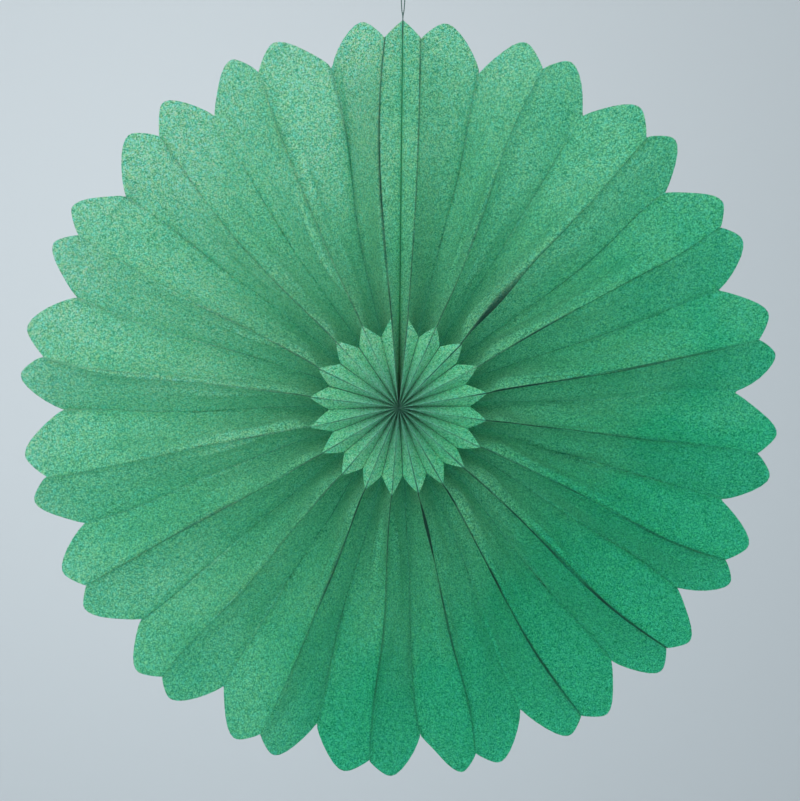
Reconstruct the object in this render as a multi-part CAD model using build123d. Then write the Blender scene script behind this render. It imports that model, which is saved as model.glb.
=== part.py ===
from build123d import *
import math
import os

os.makedirs("parts", exist_ok=True)

# A pleated paper fan opened to a full circle, with a small pleated star on its face, hung
# by a doubled thread. Millimetres. +Z is up, the face looks along -Y, and the origin is the
# point of the thread's loop that bears on the hook. Angles run clockwise from the top as
# the face is seen, and radii are measured from the hub's axis, which runs along Y.

# Paper and folds
paper_thickness = 0.1
front_folds = 20              # mountain folds, with a back fold between each two
bunching = 4.1                # degrees that the folds stand off an even spread, at most
bunching_turn = 34.0          # degrees before the seam where that starts from nothing

# Large leaf
leaf_hub_radius = 4.0         # where its gathered inner edge stands
disc_radius = 203.0           # hub's axis to the tip of a lobe
leaf_fullness = 1.02          # panel width over the widest gap between two folds at the rim
front_notch_depth = 10.2      # how far the rim drops from a lobe's tip to a front fold
back_notch_depth = 21.2       # how far it drops from the tip to a back fold
tip_share = 0.375             # where the tip lies across a panel, from its front fold
lobe_roundness = 0.35         # 0 is a sharp tip, and more is rounder
lobe_root = 7.0               # the facets of the lobes start this far inside the back notches

# Seam at the top, where the two end panels are glued face to face behind the face
seam_angle_hub = 6.0          # degrees from the seam to the front fold beside it, at the hub
seam_angle_rim = 2.7          # the same at the rim
seam_fullness = 1.12          # paper from that fold to the glue line, over their gap at the rim

# Small star
star_hub_radius = 2.5         # where its gathered inner edge stands
star_radius = 48.0            # hub's axis to a point of the star
star_notch_depth = 9.5        # how far its edge drops from a point to a back fold
star_root = 4.0               # the facets of its points start this far inside the notches
star_fullness = 1.11          # panel width over the widest gap between its folds at the points
nest_clearance = 0.05         # between the star and the leaf's front folds inside its own

# Thread
thread_diameter = 0.6
strand_clearance = 0.05       # on each side of a strand inside the seam
tie_radius = 7.0              # of the ring of thread through the panels round the hub
tie_hole_clearance = 0.15     # round the thread where it passes through a panel

# Facets: shares of the way from the leaf's hub to the root of the lobes or points, where
# the folds have a corner, and how many straight steps follow the cut edge of one panel
leaf_stations = (0.0, 0.04, 0.08, 0.15, 0.24, 0.36, 0.5, 0.64, 0.78, 0.9, 1.0)
star_stations = (0.0, 0.06, 0.15, 0.3, 0.6, 1.0)
lobe_steps = 10
point_steps = 2


# Shape of the folds

def seam_angle(radius):
    """Angle from the seam to the front fold beside it, which narrows evenly to the rim."""
    way_out = radius / disc_radius
    return math.radians(seam_angle_hub + (seam_angle_rim - seam_angle_hub) * way_out)


def panel_angle(radius):
    """Angle across one panel: the circle outside the seam is shared out evenly."""
    return (math.pi - seam_angle(radius)) / (front_folds - 1)


fold_step = math.pi / (front_folds - 1)
bunch_start = math.radians(bunching_turn)
widest = math.radians(bunching) * fold_step


def stands_off(index):
    """Angle from a fold's even place to its own: nothing at the folds beside the seam."""
    off = math.sin(index * fold_step + bunch_start) - math.sin(bunch_start)
    return math.radians(bunching) * off


def spread(index):
    """How much more than an even panel's angle the panels beside this fold are opened."""
    return widest * math.cos(index * fold_step + bunch_start)


def fold_gap(radius, opened):
    """Straight distance, across the face, between two neighbouring folds, where the panels
    are opened by this angle more than even ones."""
    return 2 * radius * math.sin((panel_angle(radius) + opened) / 2)


def pleat_depth(width, radius, opened):
    """Depth from front fold to back fold that leaves a panel its full width of paper."""
    return math.sqrt(width**2 - fold_gap(radius, opened) ** 2)


leaf_width = leaf_fullness * fold_gap(disc_radius, widest)
star_width = star_fullness * fold_gap(star_radius, widest)
seam_reach = seam_fullness * disc_radius * math.sin(seam_angle(disc_radius))
strand_offset = thread_diameter / 2 + strand_clearance
seam_offset = strand_offset + paper_thickness / 2


def leaf_front(radius, index):
    """Distance of the leaf's front fold in front of its middle plane. A back fold stands as
    far behind it."""
    return pleat_depth(leaf_width, radius, spread(index)) / 2


def glue_line(radius):
    """Distance of the glue line behind the leaf's middle plane."""
    gap = radius * math.sin(seam_angle(radius)) - seam_offset
    return math.sqrt(seam_reach**2 - gap**2) - leaf_front(radius, 0)


def star_front(radius, index):
    """Distance of the star's front fold in front of the leaf's middle plane.

    The star stands forward until its folds are open enough, at the leaf's front folds, to
    hold them with the nest clearance on both sides.
    """
    nested = max(radius, leaf_hub_radius)
    opened = spread(index)
    half_fold = math.atan2(fold_gap(nested, opened), pleat_depth(star_width, nested, opened))
    inner_corner = paper_thickness / 2 / math.sin(half_fold)
    opening = (paper_thickness / 2 + nest_clearance) / math.tan(half_fold)
    return leaf_front(nested, index) + inner_corner + opening


# The loop above the rim runs from one strand, round the hook, to the other strand.
loop_route = [
    (0.0, -strand_offset, -30.0),
    (0.0, -strand_offset, -28.0),
    (-0.8, 0.0, -24.5),
    (-1.5, 0.0, -0.6),
    (-0.6, 0.0, 0.3),
    (0.6, 0.0, 0.3),
    (1.5, 0.0, -0.6),
    (0.8, 0.0, -24.5),
    (0.0, strand_offset, -28.0),
    (0.0, strand_offset, -30.0),
]

# The rim's top is where the loop starts, and the leaf stands forward of the loop's plane
# until the two strands lie wholly behind the glue line, one behind the other.
hub_z = loop_route[0][2] - disc_radius
leaf_y = -(glue_line(disc_radius) + 2 * strand_offset)


def on_face(radius, angle, behind):
    """A point at this radius and angle, this far behind the leaf's middle plane."""
    across = radius * math.sin(angle)
    up = radius * math.cos(angle)
    return Vector(across, leaf_y + behind, hub_z + up)


# Each sheet is a list of lines that run from hub to rim, clockwise from the seam: a kind,
# a place at any radius, and how far across a panel the line lies from its front fold.

def fold_lines(front, back):
    """The folds of a sheet, from the front fold on one side of the seam to the other's."""

    def fold(index):
        behind = back if index % 2 else front

        def at(radius):
            turn = seam_angle(radius) + index * panel_angle(radius) + stands_off(index)
            return on_face(radius, turn, behind(radius, index))

        return at

    lines = []
    for index in range(2 * front_folds - 1):
        kind = "back" if index % 2 else "front"
        lines.append((kind, fold(index), float(index % 2)))
    return lines


def leaf_lines():
    """The leaf's folds, with a glue line and a free edge behind it at each end."""

    def seam(side, further_back):
        def at(radius):
            behind = leaf_y + glue_line(radius) + further_back
            return Vector(side * seam_offset, behind, hub_z + radius)

        return at

    glued = leaf_width - seam_reach
    reach_share = seam_reach / leaf_width
    right = [("edge", seam(1, glued), 1.0), ("bend", seam(1, 0.0), reach_share)]
    left = [("bend", seam(-1, 0.0), reach_share), ("edge", seam(-1, glued), 1.0)]
    folds = fold_lines(lambda radius, index: -leaf_front(radius, index), leaf_front)
    return right + folds + left


def star_lines():
    """The star's folds. Its strip ends at the front folds beside the seam."""

    def back(radius, index):
        return pleat_depth(star_width, radius, spread(index)) - star_front(radius, index)

    lines = fold_lines(lambda radius, index: -star_front(radius, index), back)
    lines[0] = ("edge",) + lines[0][1:]
    lines[-1] = ("edge",) + lines[-1][1:]
    return lines


def lobe_radius(share):
    """Radius of the leaf's cut edge at a share of the panel: a hyperbola each side of the tip."""
    if share < tip_share:
        away, depth = (tip_share - share) / tip_share, front_notch_depth
    else:
        away, depth = (share - tip_share) / (1 - tip_share), back_notch_depth
    drop = math.hypot(away, lobe_roundness) - lobe_roundness
    return disc_radius - depth * drop / (math.hypot(1, lobe_roundness) - lobe_roundness)


def point_radius(share):
    """Radius of the star's cut edge at a share of the panel: a straight slant."""
    return star_radius - star_notch_depth * share


# From lines to a solid sheet

def skin_points(lines, radius):
    """Where each line meets the front and the back skin of the sheet at this radius.

    A fold has two points on its outer skin, one for each panel, and one in its inner
    corner, where the two panels' skins meet. Any other line has one point on each skin.
    """
    half = paper_thickness / 2
    middle = [at(radius) for _, at, _ in lines]
    points = []
    for index, (kind, at, _) in enumerate(lines):
        here = middle[index]
        outward = at(radius + 1) - here
        spans = [(index - 1, index), (index, index + 1)]
        spans = [span for span in spans if span[0] >= 0 and span[1] < len(lines)]
        normals = [(middle[b] - middle[a]).cross(outward).normalized() for a, b in spans]
        before, after = normals[0], normals[-1]
        corner = (before + after) * (half / (1 + before.dot(after)))
        if kind == "front":
            points.append(((here + before * half, here + after * half), (here - corner,)))
        elif kind == "back":
            points.append(((here + corner,), (here - before * half, here - after * half)))
        else:
            points.append(((here + corner,), (here - corner,)))
    return points


def pleated_sheet(lines, radii, edge_radius, edge_steps):
    """The closed solid of a sheet in flat facets, from its lines, the radii of the corners
    along them, the radius of its cut edge at a share of a panel, and that edge's steps."""
    facets = []

    def facet(*corners):
        facets.append(Face(Wire.make_polygon(corners)))

    def strip(first, second):
        """Two facets between each two neighbouring pairs of points: they share the line
        from the second row's near point to the first row's far one."""
        for near in range(len(first) - 1):
            facet(first[near], second[near], first[near + 1])
            facet(second[near], second[near + 1], first[near + 1])

    rows = [skin_points(lines, radius) for radius in radii]
    shares = [share for _, _, share in lines]

    for index in range(len(lines) - 1):
        steps = [step / edge_steps for step in range(edge_steps + 1)]
        cut = [edge_radius(shares[index] * (1 - t) + shares[index + 1] * t) for t in steps]
        cut_rows = [skin_points(lines, radius) for radius in cut]
        tip = max(range(1, edge_steps), key=lambda step: cut[step])
        inner_ends, cut_edges = [], []
        for skin in (0, 1):
            left = [row[index][skin][-1] for row in rows]
            right = [row[index + 1][skin][0] for row in rows]
            if shares[index] > shares[index + 1]:
                strip(left, right)
            else:
                strip(right, left)
            edge = [
                row[index][skin][-1] * (1 - t) + row[index + 1][skin][0] * t
                for row, t in zip(cut_rows, steps)
            ]
            facet(left[-1], right[-1], edge[tip])
            for step in range(edge_steps):
                facet(left[-1] if step < tip else right[-1], edge[step], edge[step + 1])
            inner_ends.append([left[0], right[0]])
            cut_edges.append(edge)
        strip(*inner_ends)
        strip(*cut_edges)

    for index, (kind, _, share) in enumerate(lines):
        along = [row[index] for row in rows + [skin_points(lines, edge_radius(share))]]
        if kind == "edge":
            strip([front[0] for front, _ in along], [back[0] for _, back in along])
        if kind in ("front", "back"):
            outer = 0 if kind == "front" else 1
            strip([skins[outer][0] for skins in along], [skins[outer][1] for skins in along])
            for skins in (along[0], along[-1]):
                facet(*skins[outer], *skins[1 - outer])

    return Solid(Shell(facets))


def spaced(shares, start, end):
    return [start + (end - start) * share for share in shares]


# Leaf, with the holes that the tying thread passes through

leaf_root = disc_radius - back_notch_depth - lobe_root
leaf_radii = spaced(leaf_stations, leaf_hub_radius, leaf_root)
leaf = pleated_sheet(leaf_lines(), leaf_radii, lobe_radius, lobe_steps)
tie_plane = Plane(origin=(0, 0, hub_z), z_dir=(0, 1, 0))
tie_tunnel = tie_plane * Torus(tie_radius, thread_diameter / 2 + tie_hole_clearance)
leaf = leaf - tie_tunnel
export_step(leaf, "parts/fan_sheet.step")

# Star

star_root_radius = star_radius - star_notch_depth - star_root
star_radii = [star_hub_radius] + spaced(star_stations, leaf_hub_radius, star_root_radius)
star = pleated_sheet(star_lines(), star_radii, point_radius, point_steps)
export_step(star, "parts/star_sheet.step")

# Thread: the ring round the hub with the two strands in the seam, and the loop above the rim

strand_length = loop_route[0][2] - hub_z - tie_radius
tie = tie_plane * Torus(tie_radius, thread_diameter / 2)
for side in (-1, 1):
    foot = Plane(origin=(0, side * strand_offset, hub_z + tie_radius))
    tie += foot * extrude(Circle(thread_diameter / 2), strand_length)
export_step(tie, "parts/tie_thread.step")


def rounded_path(points):
    """Straight runs joined by tangent arcs, each as large as its two runs allow."""
    corners = [Vector(*point) for point in points]
    radii = []
    for before, corner, after in zip(corners, corners[1:], corners[2:]):
        run_in, run_out = corner - before, after - corner
        half_turn = math.radians(run_in.get_angle(run_out)) / 2
        radii.append(0.45 * min(run_in.length, run_out.length) / math.tan(half_turn))
    print("loop radii", [round(radius, 2) for radius in radii])
    return FilletPolyline(*points, radius=radii)


loop_path = rounded_path(loop_route)
loop_section = Plane(origin=loop_path @ 0, z_dir=loop_path % 0) * Circle(thread_diameter / 2)
loop = sweep(loop_section, path=loop_path)
print("loop length", round(loop_path.length, 2), "volume", round(loop.volume, 2))
print("section times length", round(math.pi * thread_diameter**2 / 4 * loop_path.length, 2))
export_step(loop, "parts/hanging_loop.step")
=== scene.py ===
import math

import bpy
import numpy as np
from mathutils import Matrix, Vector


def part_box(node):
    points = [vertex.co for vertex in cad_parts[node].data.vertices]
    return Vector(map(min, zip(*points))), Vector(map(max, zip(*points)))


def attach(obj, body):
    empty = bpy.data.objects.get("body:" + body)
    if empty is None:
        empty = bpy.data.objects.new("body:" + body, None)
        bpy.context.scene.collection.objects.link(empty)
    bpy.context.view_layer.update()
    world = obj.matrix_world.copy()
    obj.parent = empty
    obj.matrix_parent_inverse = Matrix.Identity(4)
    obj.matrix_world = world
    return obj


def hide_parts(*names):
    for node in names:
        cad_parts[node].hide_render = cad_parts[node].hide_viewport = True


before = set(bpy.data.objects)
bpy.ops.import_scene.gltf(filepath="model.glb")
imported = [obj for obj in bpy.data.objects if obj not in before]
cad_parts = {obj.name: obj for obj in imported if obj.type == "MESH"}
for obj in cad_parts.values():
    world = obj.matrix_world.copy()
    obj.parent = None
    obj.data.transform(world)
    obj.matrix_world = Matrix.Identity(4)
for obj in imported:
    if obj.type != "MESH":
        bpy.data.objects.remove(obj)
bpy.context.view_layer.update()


# Fan sheet
#
# One long strip of thin green tissue-weight paper, pressed into forty pleats, its outer edge
# cut in lobes while it was folded. It is opened to a full circle, gathered by a thread round
# the hub, and its two end pleats are glued face to face at the top.

mm = 0.001
draw = np.random.default_rng(20)

paper_thickness = 0.1 * mm
front_folds = 20
last_fold = 2 * front_folds - 2
bunching, bunching_turn = math.radians(4.1), math.radians(34.0)
disc_radius = 203.0 * mm
leaf_fullness = 1.02
seam_fullness = 1.12
seam_angle_hub, seam_angle_rim = math.radians(6.0), math.radians(2.7)
glue_gap = 0.4 * mm              # from the seam's plane to each end pleat, at the glue line
strand_offset = 0.35 * mm        # from the disc's mid plane to each strand in the seam
hub_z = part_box("fan_sheet")[1][2] - disc_radius


def seam_angle(radius):
    """Angle from the seam to the fold beside it: straight-line change from hub to rim."""
    return seam_angle_hub + (seam_angle_rim - seam_angle_hub) * radius / disc_radius


def panel_angle(radius):
    """Angle of one pleat: what the seam leaves of the circle, shared by 38 pleats."""
    return (math.pi - seam_angle(radius)) / (front_folds - 1)


def stands_off(fold):
    """Angle between a fold and its even share of the circle: a sine once round, nought at
    the seam. The pleats are bunched on one side of the disc and spread on the other."""
    around = np.pi * fold / (front_folds - 1) + bunching_turn
    return bunching * (np.sin(around) - math.sin(bunching_turn))


def opened(fold):
    """Extra angle of the pleats beside a fold: the slope of that sine, per fold."""
    step = np.pi / (front_folds - 1)
    return bunching * step * np.cos(fold * step + bunching_turn)


def fold_gap(radius, extra):
    """Chord between neighbouring folds: twice the radius times the sine of half the angle."""
    return 2 * radius * np.sin((panel_angle(radius) + extra) / 2)


def pleat_depth(width, radius, extra):
    """Depth of a pleat of this width: by Pythagoras from its chord."""
    return np.sqrt(width**2 - fold_gap(radius, extra) ** 2)


widest = bunching * math.pi / (front_folds - 1)
leaf_width = leaf_fullness * fold_gap(disc_radius, widest)
seam_reach = seam_fullness * disc_radius * math.sin(seam_angle(disc_radius))


def glue_line(radius):
    """How far the glue line lies behind the mid plane: Pythagoras on the paper from the fold
    beside the seam, less that fold's own place in front of the mid plane."""
    across = radius * np.sin(seam_angle(radius)) - glue_gap
    return np.sqrt(seam_reach**2 - across**2) - pleat_depth(leaf_width, radius, opened(0)) / 2


leaf_y = -(glue_line(disc_radius) + 2 * strand_offset)


def on_face(radius, turn, behind):
    """The point at this radius, turned clockwise from the top, this far behind mid plane."""
    return np.stack(
        [radius * np.sin(turn), leaf_y + behind, hub_z + radius * np.cos(turn)], axis=-1
    )


def soft(length, ease):
    """The positive part of a length with its corner rounded: half of x + root(x^2 + e^2)."""
    return 0.5 * (length + np.sqrt(length**2 + ease**2))


def way_out(radius, start, end):
    """Share of the way out from one radius to another: (radius - start) / (end - start), held
    between 0 and 1."""
    return np.clip((radius - start) / (end - start), 0, 1)


def along_fold(waves, way):
    """Sum of sine waves along each fold, zero at both ends: wave m is drawn / m at its peak."""
    order = np.arange(1, waves.shape[-1] + 1)
    return np.sum(waves / order * np.sin(np.pi * order * way[..., None]), axis=-1)


def pleated(shares, last):
    """Columns of a strip: the pleat each lies on, and its share of the way from front fold."""
    pleat = np.repeat(np.arange(last), len(shares) - 1)
    step = np.tile(np.arange(len(shares) - 1), last)
    forward = shares[step]
    backward = shares[::-1][step]
    share = np.where(pleat % 2 == 0, forward, backward)
    return np.append(pleat, last - 1), np.append(share, (last % 2) * 1.0)


star_tip_radius = 48.0 * mm
leaf_hub_radius = 0.5 * mm
front_notch, back_notch = 10.2 * mm, 21.2 * mm
tip_share, lobe_roundness = 0.375, 0.35
crest_height = 4.5 * mm          # of the pinched, doubled part of a front fold
crest_height_behind = 1.2 * mm   # and of a back fold
flap_height = 8.0 * mm           # more at the star, where the doubled part lies over sideways
crest_ease = 2.0 * mm            # how softly it opens into its two pleats
flap_rise, flap_fade = 0.05, 5.5  # share of the way out in which it rises, and its decay
flap_lean_most = math.radians(62)
strongest_crests = math.radians(125)  # turn where the front folds are pinched hardest
worn_side = math.radians(322)    # turn where the front notches have opened deepest
worn_notch = 3.2 * mm            # and by how much more
seam_bow = math.radians(-1.4)    # bow of the fold left of the seam, away from it
gathered_radius = 15.0 * mm      # inside this the back folds aren't doubled
wrinkle_radius = 52.0 * mm       # inside this the paper is drawn tight, with no wrinkles
broad_height, crease_height = 0.5, 1.0  # of the wrinkles, in mm
least_depth = 3.0 * mm           # of the run between two doubled parts
fold_room = 0.7 * paper_thickness  # from a doubled part's middle to each of its two layers
fold_ease = 0.5 * mm             # the bend in which the layers part

bend_ease = 0.6 * mm             # how tightly the end pleats turn at the glue line
glued_half = 0.6 * paper_thickness  # and once they have closed, past the thread
closing_length = 4.0 * mm        # in which the end pleats come that close

fold_count = last_fold + 1
bow_waves = draw.uniform(-1, 1, (fold_count + 2, 3)) * np.radians([1.3, 1.2, 0.9])
lean_waves = draw.uniform(-1, 1, (fold_count + 2, 3)) * np.radians([60, 40, 40])
crest_share = draw.uniform(0.55, 1.0, fold_count + 2)
crest_fade = draw.uniform(0.7, 2.6, fold_count + 2)
around = np.pi * np.arange(fold_count + 2) / (front_folds - 1)
crest_share *= 0.58 + 0.5 * np.cos(around - strongest_crests)
rim_drift = draw.normal(0, 1, fold_count + 2) * math.radians(0.3)
notch_drift = draw.uniform(-1, 1, fold_count + 2) * 0.9 * mm
tip_drift = draw.uniform(-0.04, 0.04, fold_count + 2)
tip_drop = draw.uniform(0, 0.4, fold_count + 2) * mm
flap_lean = flap_lean_most * np.tanh(2.5 * np.sin(around))
flap_lean += draw.uniform(-0.3, 0.3, fold_count + 2)
flap_lean[[0, -3, -2, -1]] = 0
upper_left = np.clip(np.cos(around - worn_side), 0, 1)
notch_drift += worn_notch * upper_left**3 * (np.arange(fold_count + 2) % 2 == 0)
for still in (rim_drift, notch_drift, tip_drift, tip_drop, bow_waves):
    still[[0, -3, -2, -1]] = 0
bow_waves[last_fold, 0] = seam_bow


def fold_turn(fold, radius):
    """Turn of a fold: its place in the circle, plus a drift that grows as the square of the
    way out, plus its bow between the star's points and the rim."""
    out = way_out(radius, star_tip_radius, disc_radius - front_notch)
    drift = rim_drift[fold] * out**2 + along_fold(bow_waves[fold], out)
    return seam_angle(radius) + fold * panel_angle(radius) + stands_off(fold) + drift


def lobe_edge(pleat, share):
    """Radius of the cut edge: a hyperbola falls each side of the tip to the two notches."""
    tip = tip_share + tip_drift[pleat]
    front_side = share < tip
    front = pleat + pleat % 2
    back = pleat + 1 - pleat % 2
    away = np.where(front_side, (tip - share) / tip, (share - tip) / (1 - tip))
    fall = np.where(front_side, front_notch + notch_drift[front], back_notch + notch_drift[back])
    drop = np.hypot(away, lobe_roundness) - lobe_roundness
    drop = drop / (np.hypot(1, lobe_roundness) - lobe_roundness)
    return disc_radius - tip_drop[pleat] * (1 - drop) - fall * drop


def crest_profile(front, out):
    """Height of a crest along its fold, as a share of its greatest: tanh(out / 0.08) lifts it
    at the star, and it sinks to nothing at the rim as a drawn power of what is left of the
    way, times 1 - out^8."""
    return np.tanh(out / 0.08) * (1 - out) ** (0.5 * crest_fade[front]) * (1 - out**8)


def leaf_pleats(pleat, share, radius):
    """A pleat in section. Pressing keeps the paper shut near both folds, so it stands straight
    out of each for a height, and only the run between them is spread open to the next fold.

    With q the paper's distance from the front fold and W its width, the run is
    soft(q - h) less soft(q - (W - k)) for heights h in front and k behind, and its slope
    keeps the paper's length: its depth is root(run^2 - gap^2). The doubled part also leans
    over sideways, by the sine of its lean times its stand, and that isn't taken off the run.
    Nothing holds its two layers apart where they bend, so they cross in places."""
    front = pleat + pleat % 2
    back = pleat + 1 - pleat % 2
    out = way_out(radius, star_tip_radius, disc_radius - front_notch)
    inner = way_out(radius, gathered_radius, disc_radius - back_notch)
    near_star = np.tanh(out / flap_rise) * np.exp(-flap_fade * out)
    height = crest_height * crest_share[front] * crest_profile(front, out)
    height = height + flap_height * near_star
    height_behind = crest_height_behind * crest_share[back] * np.sin(np.pi * inner) ** 0.6
    lean = along_fold(lean_waves[front], out) + flap_lean[front] * near_star**0.5
    paper = share * leaf_width

    def pulled(distance, start):
        return soft(distance - start, crest_ease) - soft(-start, crest_ease)

    past_crest = pulled(paper, height)
    stand = height - paper + past_crest
    tuck = pulled(paper, leaf_width - height_behind)
    whole_tuck = pulled(leaf_width, leaf_width - height_behind)
    whole_run = pulled(leaf_width, height) - whole_tuck
    run = (past_crest - tuck) / whole_run

    front_turn = fold_turn(front, radius)
    fold = on_face(radius, front_turn, 0 * radius)
    chord = on_face(radius, fold_turn(back, radius), 0 * radius) - fold
    gap = np.linalg.norm(chord, axis=-1)
    run_depth = np.sqrt(np.maximum(whole_run**2 - gap**2, least_depth**2))
    end_stand = height - leaf_width + pulled(leaf_width, height)
    depth = height - end_stand + run_depth + whole_tuck
    room = fold_room * np.tanh(paper / fold_ease) * np.tanh((leaf_width - paper) / fold_ease)
    sideways = np.stack([np.cos(front_turn), 0 * front_turn, -np.sin(front_turn)], axis=-1)
    point = fold + chord * (run + room / gap * (1 - 2 * run))[..., None]
    point += sideways * (np.sin(lean) * (stand - height * (1 - run)))[..., None]
    point[..., 1] += height - np.cos(lean) * stand + run * run_depth + tuck - depth / 2
    return point


def seam_pleats(side, share, radius):
    """An end pleat: straight from its front fold to the glue line, then back against the
    other end pleat. The two close on the thread between them, and cut into it."""
    paper = share * leaf_width
    depth = pleat_depth(leaf_width, radius, opened(0))
    turn = seam_angle(radius)
    if side < 0:
        turn = 2 * np.pi - fold_turn(last_fold, radius)
    fold = on_face(radius, turn, -depth / 2)
    line = np.stack([0 * radius + glue_gap, leaf_y + glue_line(radius), hub_z + radius], -1)
    before = soft(seam_reach - paper, bend_ease)
    behind = soft(paper - seam_reach, bend_ease)
    point = line + (fold - line) * (before / seam_reach)[..., None]
    point[..., 1] += behind
    closing = (glue_gap - glued_half) * np.clip(behind / closing_length, 0, 1)
    point[..., 0] -= closing
    point[..., 0] *= side
    return point


def wrinkle(pleat, share, radius):
    """Soft waves in the paper, and finer creases that run out from the hub and die away:
    sines of the place across the strip and of the way out, of drawn lengths and phases."""
    across = pleat + np.where(pleat % 2 == 0, share, 1 - share)
    out = way_out(radius, wrinkle_radius, disc_radius)

    def waves(count, turns, along):
        total = 0 * radius
        for _ in range(count):
            place = draw.uniform(*turns) * across + draw.uniform(-along, along) * out
            total = total + np.sin(2 * np.pi * (place + draw.uniform()))
        return total / math.sqrt(count)

    broad = waves(14, (0.25, 1.7), 2.2) * np.sin(np.pi * out) ** 0.5
    crease = np.maximum(waves(16, (1.1, 4.3), 1.6), 0) ** 2
    near_star = np.sin(np.pi * out**0.5) ** 2 * (1 - out)
    return (broad_height * broad + crease_height * crease * near_star) * mm


def surface_normals(point):
    """Unit normals of a grid of points: the cross product of its two central differences."""
    normal = np.cross(np.gradient(point, axis=1), np.gradient(point, axis=0))
    return normal / np.maximum(np.linalg.norm(normal, axis=-1, keepdims=True), 1e-12)


def paper_piece(name, point, across, along, fold_shade_mask, thickness):
    """Makes the grid a sheet of quads, with a UV map of pleats across and metres along, and
    how much painted fold shade each place gets, and gives it its thickness."""
    rows, columns = point.shape[:2]
    index = np.arange(rows * columns).reshape(rows, columns)
    quads = np.stack([index[:-1, :-1], index[:-1, 1:], index[1:, 1:], index[1:, :-1]], -1)
    mesh = bpy.data.meshes.new(name)
    mesh.from_pydata(point.reshape(-1, 3).tolist(), [], quads.reshape(-1, 4).tolist())
    corner = np.empty(len(mesh.loops), np.int32)
    mesh.loops.foreach_get("vertex_index", corner)
    uv = np.stack([across.ravel()[corner], along.ravel()[corner]], -1)
    mesh.uv_layers.new(name="PaperStrip").data.foreach_set("uv", uv.ravel())
    marks = mesh.attributes.new("PaintedFoldShade", "FLOAT", "POINT")
    marks.data.foreach_set("value", np.broadcast_to(fold_shade_mask, index.shape).ravel())
    mesh.polygons.foreach_set("use_smooth", np.ones(len(mesh.polygons), bool))
    mesh.update()
    piece = bpy.data.objects.new(name, mesh)
    bpy.context.collection.objects.link(piece)
    wall = piece.modifiers.new("Paper thickness", "SOLIDIFY")
    wall.thickness, wall.offset, wall.use_even_offset = thickness, 0.0, False
    return piece


leaf_shares = np.array(
    [0, 0.01, 0.025, 0.045, 0.07, 0.1, 0.14, 0.19, 0.25, 0.29, 0.315, 0.34]
    + [0.4, 0.48, 0.58, 0.69, 0.8, 0.9, 0.97, 1]
)
leaf_ways = np.append(np.linspace(0, 1, 50)[:-1], [0.9985, 1.0])

pleat, share = pleated(leaf_shares, last_fold)
way = leaf_ways[:, None]
edge = lobe_edge(pleat, share)[None, :]
radius = leaf_hub_radius + (edge - leaf_hub_radius) * way
pleat_grid, share_grid = (np.broadcast_to(values, radius.shape) for values in (pleat, share))
body = leaf_pleats(pleat_grid, share_grid, radius)
body_across = pleat + np.where(pleat % 2 == 0, share, 1 - share)

seam_share = leaf_shares[None, 1:]
seam_pleat = np.full(seam_share.shape, last_fold)
seam_edge = lobe_edge(seam_pleat, seam_share)
seam_radius = leaf_hub_radius + (seam_edge - leaf_hub_radius) * way
right = seam_pleats(1, seam_share + 0 * seam_radius, seam_radius)[:, ::-1]
left = seam_pleats(-1, seam_share + 0 * seam_radius, seam_radius)

leaf_points = np.concatenate([right, body, left], axis=1)
leaf_across = np.concatenate([-seam_share[0, ::-1], body_across, last_fold + seam_share[0]])
leaf_radius = np.concatenate([seam_radius[:, ::-1], radius, seam_radius], axis=1)
waves = wrinkle(pleat_grid, share_grid, radius)
calm = np.zeros(seam_radius.shape)
waves = np.concatenate([calm, waves, calm], axis=1)
ends = np.clip(np.minimum(leaf_across, last_fold - leaf_across), 0, 1)
leaf_points += surface_normals(leaf_points) * (waves * ends)[..., None]

# Painted shade along the folds. The crest lines are as strong as the crests stand and fade out as
# they do, and the bottoms of the pleats are shaded only near the star.
front_grid = pleat_grid + pleat_grid % 2
out_grid = way_out(radius, star_tip_radius, disc_radius)
crest_shade = np.clip(0.65 + 0.9 * crest_share[front_grid], 0, 1.4)
crest_shade *= (1 - out_grid) ** (1.3 * crest_fade[front_grid] * (1.2 - crest_share[front_grid]))
valley_shade_strength, seam_shade_strength = 0.8, 0.8
valley_shade = valley_shade_strength * (1 - out_grid) ** 2.5
body_fold_shade = np.where(share_grid < 0.5, crest_shade, valley_shade)
seam_fold_shade = np.full(seam_radius.shape, seam_shade_strength)
leaf_fold_shade = np.concatenate([seam_fold_shade, body_fold_shade, seam_fold_shade], axis=1)

fan = paper_piece(
    "fan_sheet_paper",
    leaf_points,
    np.broadcast_to(leaf_across, leaf_radius.shape),
    leaf_radius,
    leaf_fold_shade,
    paper_thickness,
)


def linear(colour):
    """An sRGB hex colour as linear light, by the sRGB curve, with full opacity."""
    level = np.array([int(colour[at : at + 2], 16) for at in (1, 3, 5)]) / 255
    level = np.where(level <= 0.04045, level / 12.92, ((level + 0.055) / 1.055) ** 2.4)
    return (*level.tolist(), 1.0)


def add_node(tree, kind, inputs, **settings):
    """Adds a node with its settings. Each input is a value, or another node's output."""
    made = tree.nodes.new("ShaderNode" + kind)
    for name, value in settings.items():
        setattr(made, name, value)
    for name, value in inputs.items():
        if isinstance(value, bpy.types.NodeSocket):
            tree.links.new(value, made.inputs[name])
        else:
            made.inputs[name].default_value = value
    return made


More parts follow.
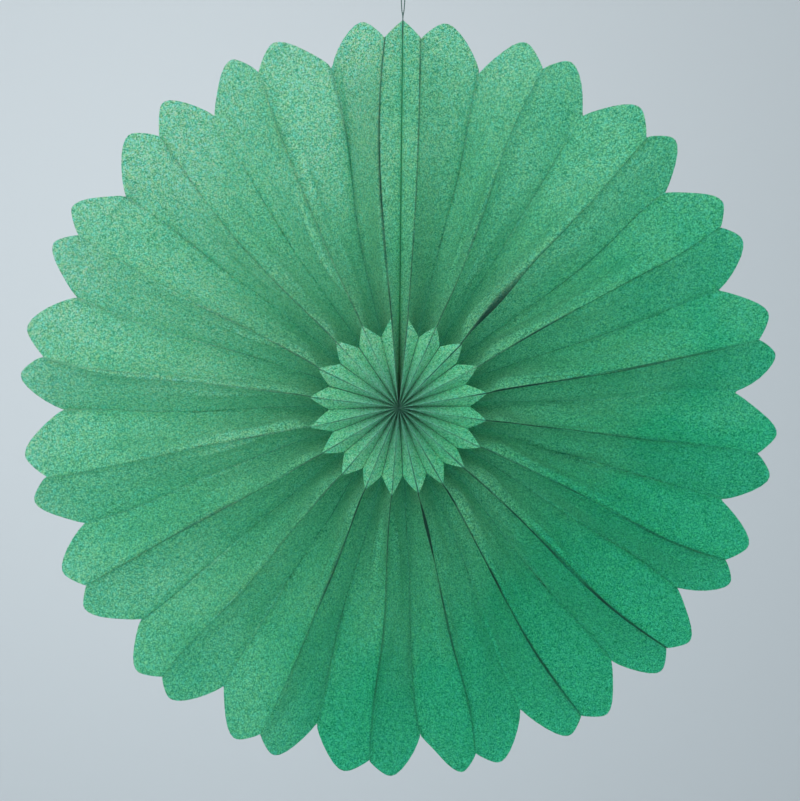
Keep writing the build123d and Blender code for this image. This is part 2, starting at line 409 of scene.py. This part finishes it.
def tissue_paper(
    name, pale, pale_warm, deep, deep_warm, crease, through, glow, grain, hub, lines
):
    """Thin uncoated paper dyed in the pulp. Its uneven dye and fibres give the fine mottle,
    it scatters light evenly with hardly any shine, and the share `through` of the light
    passes into it and out behind, less what the dye takes, which evens out the pleats.
    Painted light and shade go into its colour: paler towards the upper left and deeper towards
    the lower right, paler towards the hub as `hub` gives, and dark lines of painted shade along
    the folds."""
    material = bpy.data.materials.new(name)
    material.use_nodes = True
    tree = material.node_tree
    tree.nodes.clear()
    place = add_node(tree, "TexCoord", {}).outputs["Object"]
    strip = add_node(tree, "UVMap", {}, uv_map="PaperStrip").outputs["UV"]
    across = add_node(tree, "SeparateXYZ", {"Vector": strip}).outputs["X"]

    # Pulp flecks about 0.4 mm across, lighter and darker, drawn that coarse to show at all
    fleck = add_node(tree, "TexVoronoi", {"Vector": place, "Scale": 2700.0})
    flecked = add_node(tree, "SeparateXYZ", {"Vector": fleck.outputs["Color"]})
    # Dye takes unevenly in patches about 1.6 mm across, yellower or bluer
    patch = add_node(
        tree, "TexNoise", {"Vector": place, "Scale": 640.0, "Detail": 3.0, "Roughness": 0.75}
    )
    uneven = add_node(
        tree, "MapRange", {"Value": patch.outputs["Fac"], "From Min": 0.38, "From Max": 0.62}
    )
    # Painted light: paler towards the upper left and deeper towards the lower right, in clouds
    # about 60 mm across
    cloud = add_node(
        tree, "TexNoise", {"Vector": place, "Scale": 16.0, "Detail": 2.0, "Roughness": 0.5}
    )
    axes = add_node(tree, "SeparateXYZ", {"Vector": place})
    across_face = add_node(
        tree, "Math", {0: axes.outputs["X"], 1: -1.4, 2: 0.33}, operation="MULTIPLY_ADD"
    )
    up_face = add_node(
        tree,
        "Math",
        {0: axes.outputs["Z"], 1: 1.4, 2: across_face.outputs["Value"]},
        operation="MULTIPLY_ADD",
    )
    painted_light_share = add_node(
        tree,
        "Math",
        {0: cloud.outputs["Fac"], 1: 0.5, 2: up_face.outputs["Value"]},
        operation="MULTIPLY_ADD",
    )
    painted_light_share = add_node(
        tree, "MapRange", {"Value": painted_light_share.outputs["Value"], "From Min": 0.0, "From Max": 0.62}
    )
    # The deep colours stand where the painted light is least, the pale ones where it is most
    bluish = add_node(
        tree,
        "Mix",
        {"Factor": painted_light_share.outputs["Result"], 6: linear(deep), 7: linear(pale)},
        data_type="RGBA",
    )
    yellowish = add_node(
        tree,
        "Mix",
        {"Factor": painted_light_share.outputs["Result"], 6: linear(deep_warm), 7: linear(pale_warm)},
        data_type="RGBA",
    )
    dyed = add_node(
        tree,
        "Mix",
        {
            "Factor": uneven.outputs["Result"],
            6: bluish.outputs[2],
            7: yellowish.outputs[2],
        },
        data_type="RGBA",
    )
    # Painted light: paler towards the hub, lifting the shade of the deep pleats there
    along = add_node(tree, "SeparateXYZ", {"Vector": strip}).outputs["Y"]
    near_hub, off_hub, most, hub_light_tint = hub
    painted_hub_light = add_node(
        tree,
        "MapRange",
        {
            "Value": along,
            "From Min": near_hub,
            "From Max": off_hub,
            "To Min": most,
            "To Max": 0.0,
        },
        interpolation_type="SMOOTHSTEP",
    )
    dyed = add_node(
        tree,
        "Mix",
        {"Factor": painted_hub_light.outputs["Result"], 6: dyed.outputs[2], 7: linear(hub_light_tint)},
        data_type="RGBA",
    )
    # A pale fleck gains most in red, which the dye takes out, and a dark one loses most there
    swing = np.array([1.0, 0.5, 0.6, 0.0]) * grain
    fleck_tint = add_node(
        tree,
        "Mix",
        {"Factor": flecked.outputs["X"], 6: tuple(1 - swing), 7: tuple(1 + swing)},
        data_type="RGBA",
    )
    clouded = add_node(
        tree,
        "Mix",
        {"Factor": 1.0, 6: dyed.outputs[2], 7: fleck_tint.outputs[2]},
        data_type="RGBA",
        blend_type="MULTIPLY",
        clamp_result=True,
    )
    glowing = add_node(
        tree,
        "Mix",
        {"Factor": 1.0, 6: linear(glow), 7: fleck_tint.outputs[2]},
        data_type="RGBA",
        blend_type="MULTIPLY",
        clamp_result=True,
    )
    # Distance from the nearest fold, in pleats: 0 at a front fold, 1 at a back fold
    share_in = add_node(
        tree, "Math", {0: across, 1: 1.0}, operation="PINGPONG"
    ).outputs["Value"]
    # Painted shade along the folds, darkest within 0.1 to 0.4 mm of a fold and gone 0.6 to 1.3 mm
    # from it. It comes and goes along a fold, and is stronger in front
    shade_breakup_noise = add_node(
        tree,
        "TexNoise",
        {
            "Vector": add_node(
                tree, "VectorMath", {0: strip, 1: (1.3, 22.0, 0.0)}, operation="MULTIPLY"
            ).outputs["Vector"],
            "Scale": 1.0,
            "Detail": 2.0,
        },
    )
    shade_breakup = add_node(
        tree,
        "MapRange",
        {
            "Value": shade_breakup_noise.outputs["Fac"],
            "From Min": 0.35,
            "From Max": 0.65,
            "To Min": 0.4,
            "To Max": 1.2,
        },
    )
    drawn = []
    for start, end, strength in lines:
        near = add_node(
            tree,
            "MapRange",
            {"Value": share_in, "From Min": start, "From Max": end, "To Min": 1.0, "To Max": 0.0},
            interpolation_type="SMOOTHSTEP",
        )
        drawn.append(
            add_node(
                tree, "Math", {0: near.outputs["Result"], 1: strength}, operation="MULTIPLY"
            ).outputs["Value"]
        )
    marked = add_node(tree, "Attribute", {}, attribute_name="PaintedFoldShade").outputs["Fac"]
    lined = add_node(tree, "Math", {0: drawn[0], 1: drawn[1]}, operation="MAXIMUM")
    fold_shade_mask = add_node(
        tree, "Math", {0: lined.outputs["Value"], 1: marked}, operation="MULTIPLY"
    )
    painted_fold_shade = add_node(
        tree,
        "Math",
        {0: fold_shade_mask.outputs["Value"], 1: shade_breakup.outputs["Result"]},
        operation="MULTIPLY",
        use_clamp=True,
    )
    creased = add_node(
        tree,
        "Mix",
        {
            "Factor": painted_fold_shade.outputs["Value"],
            6: clouded.outputs[2],
            7: linear(crease),
        },
        data_type="RGBA",
    )
    colour = creased.outputs[2]

    # Fibres lie about 0.4 mm apart and stand up a few hundredths of a millimetre
    fibre = add_node(
        tree, "TexNoise", {"Vector": place, "Scale": 2500.0, "Detail": 2.0, "Roughness": 0.7}
    )
    relief = add_node(
        tree,
        "Bump",
        {"Height": fibre.outputs["Fac"], "Strength": 0.5, "Distance": 0.06 * mm},
    ).outputs["Normal"]
    front = add_node(
        tree,
        "BsdfPrincipled",
        {
            "Base Color": colour,
            "Roughness": 0.65,
            "IOR": 1.45,
            "Specular IOR Level": 0.35,
            "Sheen Weight": 0.12,
            "Sheen Roughness": 0.6,
            "Normal": relief,
        },
    )
    # Light comes through pale, but hardly through the painted fold shade, which darkens it
    # further
    clear = add_node(
        tree, "Math", {0: painted_fold_shade.outputs["Value"], 1: -0.7, 2: 0.7}, operation="MULTIPLY_ADD"
    )
    shine_through = add_node(
        tree,
        "BsdfTranslucent",
        {
            "Color": add_node(
                tree,
                "Mix",
                {"Factor": clear.outputs["Value"], 6: colour, 7: glowing.outputs[2]},
                data_type="RGBA",
            ).outputs[2],
            "Normal": relief,
        },
    )
    both = add_node(
        tree, "MixShader", {0: through, 1: front.outputs[0], 2: shine_through.outputs[0]}
    )
    add_node(tree, "OutputMaterial", {"Surface": both.outputs[0]})
    return material


leaf_paper = tissue_paper(
    "green_tissue_paper",
    pale="#7CECD4",
    pale_warm="#C6F4B8",
    deep="#00B894",
    deep_warm="#30CA86",
    # crease is the colour of the painted shade along the folds
    crease="#1A5A4C",
    through=0.6,
    glow="#A0F6DE",
    grain=1.1,
    # hub gives the radii, strength and tint of the painted light towards the hub
    hub=(52 * mm, 120 * mm, 0.2, "#A8F0D0"),
    lines=((0.012, 0.036, 1.0), (0.995, 0.975, 0.8)),
)
fan.data.materials.append(leaf_paper)
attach(fan, "root")
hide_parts("fan_sheet")


# Star sheet
#
# A small strip of the same paper, pleated as finely as the fan and cut to points, opened to
# a rosette and glued on the fan's front folds over the hub. It ends at the seam on each side.

star_hub_radius = 0.3 * mm
star_notch = 10.3 * mm
star_fullness = 1.11
star_width = star_fullness * fold_gap(star_tip_radius, widest)
nest_clearance = 0.05 * mm
nest_radius = 4.0 * mm           # inside this the star's front folds stand as far out as here
back_fold_freedom = 2.6          # its back folds are free of the fan's, so they drift further
tip_uneven = draw.uniform(-1.5, 0.0, fold_count + 1) * mm
star_drift = draw.normal(0, 1, fold_count + 1) * math.radians(0.35)
star_drift[1::2] *= back_fold_freedom
star_drift[[0, last_fold]] = 0
notch_uneven = draw.uniform(-0.7, 1.3, fold_count + 1) * mm


def star_front(radius, extra):
    """How far the star's front folds stand before the mid plane: on the fan's front folds,
    forward by what holds them in its own fold with a little room. Inside the nest radius
    there is no such room, and the two papers run into each other at the hub."""
    nested = np.maximum(radius, nest_radius)
    half = np.arctan2(fold_gap(nested, extra), pleat_depth(star_width, nested, extra))
    rest = (paper_thickness / 2 + nest_clearance) / np.tan(half)
    crest = pleat_depth(leaf_width, nested, extra) / 2
    return crest + paper_thickness / 2 / np.sin(half) + rest


def star_pleats(pleat, share, radius):
    """A star's pleat in section: straight from its front fold to its back fold."""
    front = pleat + pleat % 2
    back = pleat + 1 - pleat % 2
    out = radius / star_tip_radius
    turn = [
        seam_angle(radius) + fold * panel_angle(radius) + stands_off(fold)
        + star_drift[fold] * out**2
        for fold in (front, back)
    ]
    fold = on_face(radius, turn[0], -star_front(radius, opened(front)))
    depth = pleat_depth(star_width, radius, opened(back))
    far = on_face(radius, turn[1], depth - star_front(radius, opened(back)))
    return fold + (far - fold) * share[..., None]


star_shares = np.array([0, 0.03, 0.09, 0.25, 0.5, 0.75, 0.91, 0.97, 1])
star_ways = np.append(np.linspace(0, 1, 22)[:-1], [0.994, 1.0])
pleat, share = pleated(star_shares, last_fold)
front, back = pleat + pleat % 2, pleat + 1 - pleat % 2
fall = (star_notch + notch_uneven[back]) * share
edge = star_tip_radius + tip_uneven[front] * (1 - share) - fall
radius = star_hub_radius + (edge[None, :] - star_hub_radius) * star_ways[:, None]
pleat_grid, share_grid = (np.broadcast_to(values, radius.shape) for values in (pleat, share))
star_points = star_pleats(pleat_grid, share_grid, radius)
star_across = pleat + np.where(pleat % 2 == 0, share, 1 - share)
star = paper_piece(
    "star_sheet_paper",
    star_points,
    np.broadcast_to(star_across, radius.shape),
    radius,
    1.0,
    paper_thickness,
)
star_paper = tissue_paper(
    "mint_tissue_paper",
    pale="#80F2CC",
    pale_warm="#B8FABE",
    deep="#44E4B4",
    deep_warm="#70F0AC",
    # crease is the colour of the painted shade along the folds
    crease="#1E6252",
    through=0.42,
    glow="#C4FFE4",
    grain=1.15,
    # hub gives the radii, strength and tint of the painted light towards the hub
    hub=(4 * mm, 38 * mm, 0.6, "#90FFDC"),
    lines=((0.015, 0.06, 0.9), (0.98, 0.92, 0.8)),
)
star.data.materials.append(star_paper)
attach(star, "root")
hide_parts("star_sheet")


# Hanging loop
#
# One polyester sewing thread of two plies, grey-green, which comes doubled out of the seam
# and makes the loop that hangs on a hook.

thread_diameter = 0.6 * mm
ply_turn = 2.4 * mm              # the thread turns once in this length

loop_route = np.array(
    [
        (0.0, -0.35, -30.0),
        (0.0, -0.35, -28.0),
        (-0.8, 0.0, -24.5),
        (-1.4, 0.0, -4.2),
        (-1.5, 0.0, -0.6),
        (-0.6, 0.0, 0.3),
        (0.6, 0.0, 0.3),
        (1.5, 0.0, -0.6),
        (1.4, 0.0, -4.2),
        (0.8, 0.0, -24.5),
        (0.0, 0.35, -28.0),
        (0.0, 0.35, -30.0),
    ]
) * mm

loop_curve = bpy.data.curves.new("loop_line", "CURVE")
loop_curve.dimensions = "3D"
line = loop_curve.splines.new("NURBS")
line.points.add(len(loop_route) - 1)
line.points.foreach_set("co", np.append(loop_route, np.ones((len(loop_route), 1)), 1).ravel())
line.order_u = 3
line.use_endpoint_u = True
line.resolution_u = 24
line_holder = bpy.data.objects.new("loop_line", loop_curve)
line_mesh = bpy.data.meshes.new_from_object(line_holder)
loop_path = np.empty(len(line_mesh.vertices) * 3)
line_mesh.vertices.foreach_get("co", loop_path)
loop_path = loop_path.reshape(-1, 3)
bpy.data.objects.remove(line_holder)
bpy.data.meshes.remove(line_mesh)


def even_path(path, step):
    """The same line with its points a fixed step apart, read off by length along it."""
    length = np.append(0, np.cumsum(np.linalg.norm(np.diff(path, axis=0), axis=1)))
    at = np.linspace(0, length[-1], int(length[-1] / step) + 2)
    return np.stack([np.interp(at, length, path[:, axis]) for axis in range(3)], -1), at


def twisted_thread(name, path, sides):
    """Two plies as one rope-like skin. The section's radius is greatest over each ply and
    least between them, R (0.78 + 0.22 |cos t|), and it turns once in each ply turn."""
    path, at = even_path(path, ply_turn / 12)
    ahead = np.gradient(path, axis=0)
    ahead /= np.linalg.norm(ahead, axis=1, keepdims=True)
    side = np.cross([0.0, 1.0, 0.0], ahead)
    side /= np.linalg.norm(side, axis=1, keepdims=True)
    up = np.cross(ahead, side)
    turn = np.linspace(0, 2 * np.pi, sides, endpoint=False)[None, :]
    twist = 2 * np.pi * at[:, None] / ply_turn
    reach = thread_diameter / 2 * (0.78 + 0.22 * np.abs(np.cos(turn)))
    angle = (turn + twist)[..., None]
    skin = path[:, None] + reach[..., None] * (
        np.cos(angle) * side[:, None] + np.sin(angle) * up[:, None]
    )
    rows = len(path)
    index = np.arange(rows * sides).reshape(rows, sides)
    beside = np.roll(index, -1, axis=1)
    quads = np.stack([index[:-1], beside[:-1], beside[1:], index[1:]], -1).reshape(-1, 4)
    mesh = bpy.data.meshes.new(name)
    ends = [index[0, ::-1].tolist(), index[-1].tolist()]
    mesh.from_pydata(skin.reshape(-1, 3).tolist(), [], quads.tolist() + ends)
    corner = np.empty(len(mesh.loops), np.int32)
    mesh.loops.foreach_get("vertex_index", corner)
    share_round = np.broadcast_to(turn / (2 * np.pi), index.shape).ravel()
    uv = np.stack([share_round[corner], np.repeat(at, sides)[corner]], -1)
    mesh.uv_layers.new(name="ThreadLay").data.foreach_set("uv", uv.ravel())
    mesh.polygons.foreach_set("use_smooth", np.ones(len(mesh.polygons), bool))
    mesh.update()
    piece = bpy.data.objects.new(name, mesh)
    bpy.context.collection.objects.link(piece)
    return piece


def sewing_thread(name, shade, hollow_shade):
    """Spun polyester sewing thread. It is matt with a slight sheen from its fine hairs, and has
    painted shade in the hollow between its plies."""
    material = bpy.data.materials.new(name)
    material.use_nodes = True
    tree = material.node_tree
    tree.nodes.clear()
    lay = add_node(tree, "UVMap", {}, uv_map="ThreadLay").outputs["UV"]
    round_it = add_node(tree, "SeparateXYZ", {"Vector": lay}).outputs["X"]
    crown = add_node(tree, "Math", {0: round_it, 1: 0.25}, operation="PINGPONG").outputs["Value"]
    depth = add_node(
        tree, "MapRange", {"Value": crown, "From Max": 0.25, "To Min": 0.0, "To Max": 1.0}
    )
    place = add_node(tree, "TexCoord", {}).outputs["Object"]
    hairs = add_node(tree, "TexNoise", {"Vector": place, "Scale": 6000.0, "Detail": 2.0})
    # Painted shade: darker in the hollow between the plies
    mixed = add_node(
        tree,
        "Mix",
        {"Factor": depth.outputs["Result"], 6: linear(shade), 7: linear(hollow_shade)},
        data_type="RGBA",
    )
    fuzz = add_node(
        tree, "Bump", {"Height": hairs.outputs["Fac"], "Strength": 0.6, "Distance": 0.04 * mm}
    )
    thread = add_node(
        tree,
        "BsdfPrincipled",
        {
            "Base Color": mixed.outputs[2],
            "Roughness": 0.7,
            "Specular IOR Level": 0.4,
            "Sheen Weight": 0.3,
            "Sheen Roughness": 0.5,
            "Normal": fuzz.outputs["Normal"],
        },
    )
    add_node(tree, "OutputMaterial", {"Surface": thread.outputs[0]})
    return material


thread_material = sewing_thread("spun_polyester_thread", "#4E7A74", "#29504C")
loop = twisted_thread("hanging_loop_thread", loop_path, 14)
loop.data.materials.append(thread_material)
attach(loop, "root")
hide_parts("hanging_loop")


# Tie thread
#
# The same thread below the loop. It comes down the seam, goes once through every pleat round
# the hub, drawn tight, and goes back up the seam behind its own first strand.

tie_radius = 7.0 * mm
bend_radius = 1.5 * mm
bend_z = math.sqrt((tie_radius + bend_radius) ** 2 - bend_radius**2)
bend_turn = math.atan2(bend_radius, bend_z)
strand_top = loop_route[0][2]


def tie_line():
    """The thread's line: a straight strand down, a quarter bend, the ring round the hub, the
    same bend and a straight strand up, with the strands one behind the other."""
    ring = np.linspace(bend_turn, 2 * np.pi - bend_turn, 160)
    ring = np.stack([tie_radius * np.sin(ring), tie_radius * np.cos(ring)], -1)
    swing = np.linspace(np.pi, np.pi + np.pi / 2 - bend_turn, 12)[:-1]
    bend = np.stack(
        [bend_radius + bend_radius * np.cos(swing), bend_z + bend_radius * np.sin(swing)], -1
    )
    foot = np.array([[0.0, strand_top - hub_z]])
    flat = np.concatenate([foot, bend, ring, bend[::-1] * [-1, 1], foot])
    length = np.append(0, np.cumsum(np.linalg.norm(np.diff(flat, axis=0), axis=1)))
    strand = strand_top - hub_z - bend_z
    behind = np.interp(
        length, [strand, length[-1] - strand], [-strand_offset, strand_offset]
    )
    return np.stack([flat[:, 0], behind, hub_z + flat[:, 1]], -1)


tie = twisted_thread("tie_thread_strands", tie_line(), 10)
tie.data.materials.append(thread_material)
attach(tie, "root")
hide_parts("tie_thread")


# Room
#
# The fan hangs clear of everything, over a plain pale floor and before a plain pale wall.

def plain_paint(name, shade):
    """Matt emulsion paint, which scatters light evenly."""
    material = bpy.data.materials.new(name)
    material.use_nodes = True
    paint = material.node_tree.nodes["Principled BSDF"]
    paint.inputs["Base Color"].default_value = linear(shade)
    paint.inputs["Roughness"].default_value = 0.9
    return material


def plain_sheet(name, corners, material):
    """A flat rectangle that belongs to the room."""
    mesh = bpy.data.meshes.new(name)
    mesh.from_pydata(corners, [], [(0, 1, 2, 3)])
    mesh.materials.append(material)
    sheet = bpy.data.objects.new(name, mesh)
    bpy.context.collection.objects.link(sheet)


floor_z, wall_y, reach = -1.3, 2.4, 5.0
wall_paint = plain_paint("pale_wall_paint", "#D2D9DD")
plain_sheet(
    "room_floor",
    [(-reach, -reach, floor_z), (reach, -reach, floor_z), (reach, wall_y, floor_z),
     (-reach, wall_y, floor_z)],
    wall_paint,
)
plain_sheet(
    "room_wall",
    [(-reach, wall_y, floor_z), (reach, wall_y, floor_z), (reach, wall_y, 3.0),
     (-reach, wall_y, 3.0)],
    wall_paint,
)

world = bpy.data.worlds.new("room_light")
bpy.context.scene.world = world
world.use_nodes = True
sky = world.node_tree.nodes["Background"]
sky.inputs["Color"].default_value = linear("#E4EAEE")
sky.inputs["Strength"].default_value = 0.7


def soft_box(name, place, aim, size, power, shade):
    """A large square lamp at a place, turned to face a point."""
    lamp = bpy.data.lights.new(name, "AREA")
    lamp.shape, lamp.size, lamp.energy = "SQUARE", size, power
    lamp.color = linear(shade)[:3]
    holder = bpy.data.objects.new(name, lamp)
    away = np.array(place) - np.array(aim)
    holder.location = place
    holder.rotation_euler = (
        math.acos(away[2] / np.linalg.norm(away)),
        0.0,
        math.atan2(away[1], away[0]) + math.pi / 2,
    )
    holder.visible_camera = False
    bpy.context.collection.objects.link(holder)


centre = (0.0, 0.0, hub_z)
soft_box("key_soft_box", (-0.25, -1.25, 0.1), centre, size=1.4, power=9.6, shade="#FFFAF0")
soft_box(
    "wall_wash",
    (-0.55, 0.7, -0.1),
    (-0.5, wall_y, -0.1),
    size=1.1,
    power=12.5,
    shade="#FFFFFF",
)

bpy.context.scene.view_settings.view_transform = "Standard"

camera_away, camera_rise, camera_roll = 0.990, math.radians(4.8), math.radians(0.6)
camera_right, aim_above_hub = 0.0006, 0.0021
camera = bpy.data.objects.new("camera", bpy.data.cameras.new("camera"))
camera.data.lens = 83.3
camera.data.sensor_width = 36.0
camera.location = (
    camera_right,
    leaf_y - camera_away * math.cos(camera_rise),
    hub_z + aim_above_hub + camera_away * math.sin(camera_rise),
)
camera.rotation_mode = "ZXY"
camera.rotation_euler = (math.pi / 2 - camera_rise, 0.0, camera_roll)
bpy.context.collection.objects.link(camera)
bpy.context.scene.camera = camera
